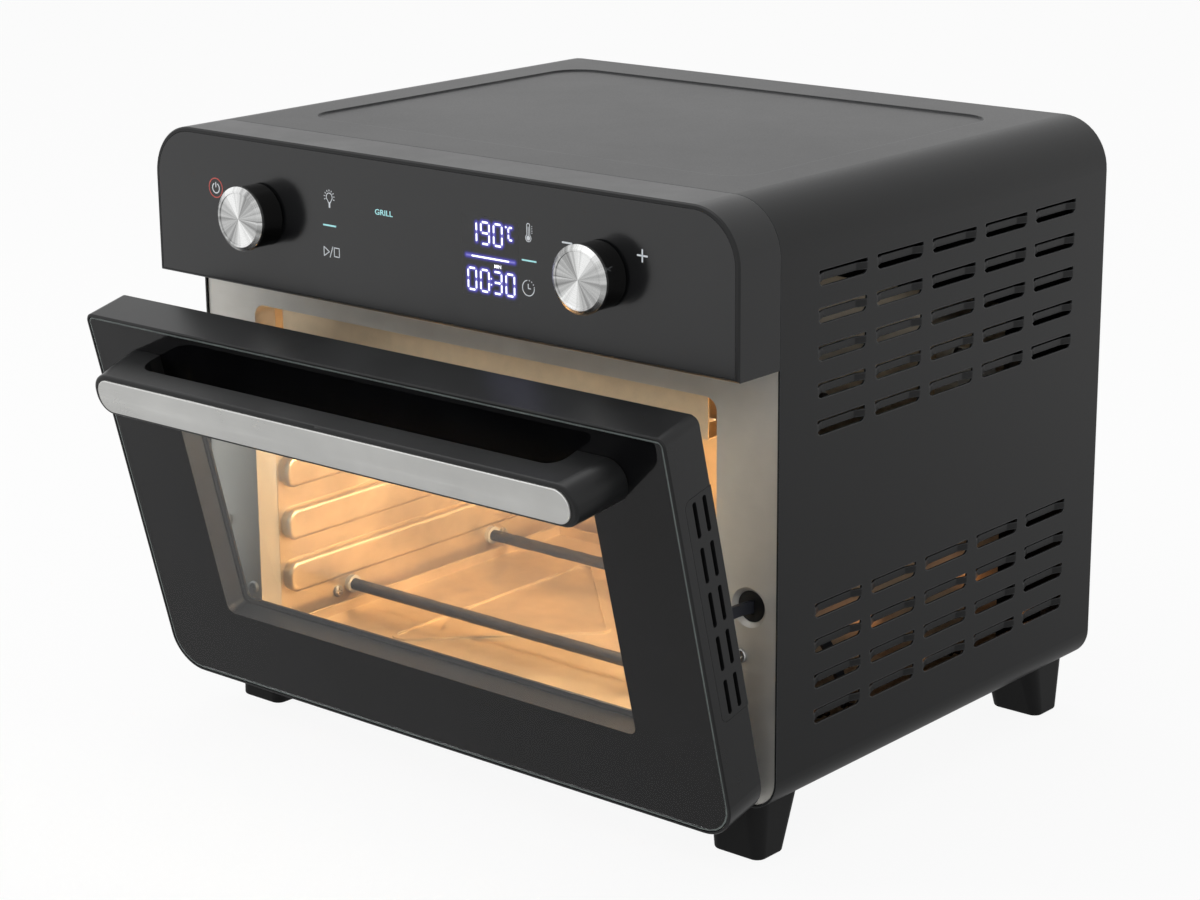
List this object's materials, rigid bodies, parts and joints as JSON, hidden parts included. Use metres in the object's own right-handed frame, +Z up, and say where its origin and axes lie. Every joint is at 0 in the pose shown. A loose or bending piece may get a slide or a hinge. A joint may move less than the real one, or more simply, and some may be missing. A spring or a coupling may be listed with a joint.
{
  "type": "countertop oven",
  "caption": "Boxy black countertop oven on short feet, with a drop-down glass door standing ajar, a bar handle, a glass control panel with two knobs, and louvred sides.",
  "frame": {"origin": "on the table, under the middle of the oven's box with its door ajar as pictured", "axes": "+X to the right of someone facing the door, +Y towards the back, +Z up"},
  "size_m": [0.4, 0.4199, 0.3355],
  "materials": {
    "shell_paint": "satin black powder coat",
    "housing_moulding": "satin black",
    "control_glass": "gloss, printed black behind",
    "door_glass": "gloss, tinted dark",
    "inner_glass": "clear",
    "door_moulding": "satin black",
    "stainless": "satin brushed",
    "galvanised": "plain galvanised sheet",
    "cavity_steel": "satin, lit warm by the lamp",
    "door_pan": "dark grey enamel",
    "heater_sheath": "dull sheath",
    "ceramic": "glazed ceramic",
    "lamp_glass": "frosted",
    "knob_metal": "turned face, bright chamfer",
    "knob_black": "gloss black",
    "handle_metal": "fine brushed",
    "handle_moulding": "satin black",
    "vent_moulding": "satin black",
    "foot_moulding": "satin black",
    "plain_steel": "zinc plated",
    "board": "circuit board",
    "display": "dark display",
    "nylon": "natural nylon",
    "motor_steel": "plain steel",
    "fan_steel": "pressed",
    "black_moulding": "black"
  },
  "bodies": {
    "root": {"base_panel": "galvanised", "case_screws": "plain_steel", "cavity_ceiling": "cavity_steel", "cavity_floor": "cavity_steel", "cavity_left_wall": "cavity_steel", "cavity_rear_wall": "cavity_steel", "cavity_right_wall": "cavity_steel", "control_glass": "control_glass", "control_housing": "housing_moulding", "cord_inlet": "black_moulding", "crumb_tray": "cavity_steel", "display_board": "board", "display_module": "display", "door_switch": "black_moulding", "encoder_bodies": "motor_steel", "fan_motor": "motor_steel", "foot_front_left": "foot_moulding", "foot_front_right": "foot_moulding", "foot_rear_left": "foot_moulding", "foot_rear_right": "foot_moulding", "foot_screws": "plain_steel", "front_frame": "stainless", "heater_insulators": "ceramic", "heater_shield": "cavity_steel", "hinge_brackets": "plain_steel", "lamp_cover": "lamp_glass", "lower_front_heater": "heater_sheath", "lower_rear_heater": "heater_sheath", "outer_shell": "shell_paint", "oven_lamp": "ceramic", "power_board": "board", "rear_panel": "shell_paint", "rear_spacer": "plain_steel", "stay_guide": "nylon", "temperature_probe": "stainless", "terminal_block": "nylon", "thermal_cutoff": "black_moulding", "upper_front_heater": "heater_sheath", "upper_rear_heater": "heater_sheath"},
    "door": {"door_surround": "door_moulding", "door_outer_glass": "door_glass", "door_inner_frame": "door_pan", "door_inner_glass": "inner_glass", "door_vent_left": "vent_moulding", "door_vent_right": "vent_moulding", "hinge_pins": "plain_steel", "handle_bar": "handle_moulding", "handle_trim": "handle_metal", "handle_screws": "plain_steel", "stay_arm": "door_pan"},
    "left_knob_spin": {"left_encoder_shaft": "plain_steel"},
    "right_knob_spin": {"right_encoder_shaft": "plain_steel"},
    "left_knob": {"left_knob_barrel": "knob_black", "left_knob_cap": "knob_metal"},
    "right_knob": {"right_knob_barrel": "knob_black", "right_knob_cap": "knob_metal"},
    "fan_rotor": {"fan_shaft": "plain_steel", "convection_fan": "fan_steel", "cooling_fan": "fan_steel"}
  },
  "joints": [
    {"name": "door_hinge", "type": "hinge", "parent": "root", "child": "door", "pos_m": [0, -0.10905, 0.0375], "axis": [1, 0, 0], "range_deg": [-14.2, 65.8]},
    {"name": "left_knob_turn", "type": "hinge", "parent": "root", "child": "left_knob_spin", "pos_m": [-0.117, -0.12955, 0.295], "axis": [0, 1, 0], "continuous": true},
    {"name": "left_knob_press", "type": "slide", "parent": "left_knob_spin", "child": "left_knob", "axis": [0, 1, 0], "range_m": [0, 0.001], "stiffness_N_per_m": 1500, "springref_m": -0.001},
    {"name": "right_knob_turn", "type": "hinge", "parent": "root", "child": "right_knob_spin", "pos_m": [0.117, -0.12955, 0.295], "axis": [0, 1, 0], "continuous": true},
    {"name": "right_knob_press", "type": "slide", "parent": "right_knob_spin", "child": "right_knob", "axis": [0, 1, 0], "range_m": [0, 0.001], "stiffness_N_per_m": 1500, "springref_m": -0.001},
    {"name": "fan_spin", "type": "hinge", "parent": "root", "child": "fan_rotor", "pos_m": [0, 0.03285, 0.2345], "axis": [0, 0, 1], "continuous": true}
  ]
}
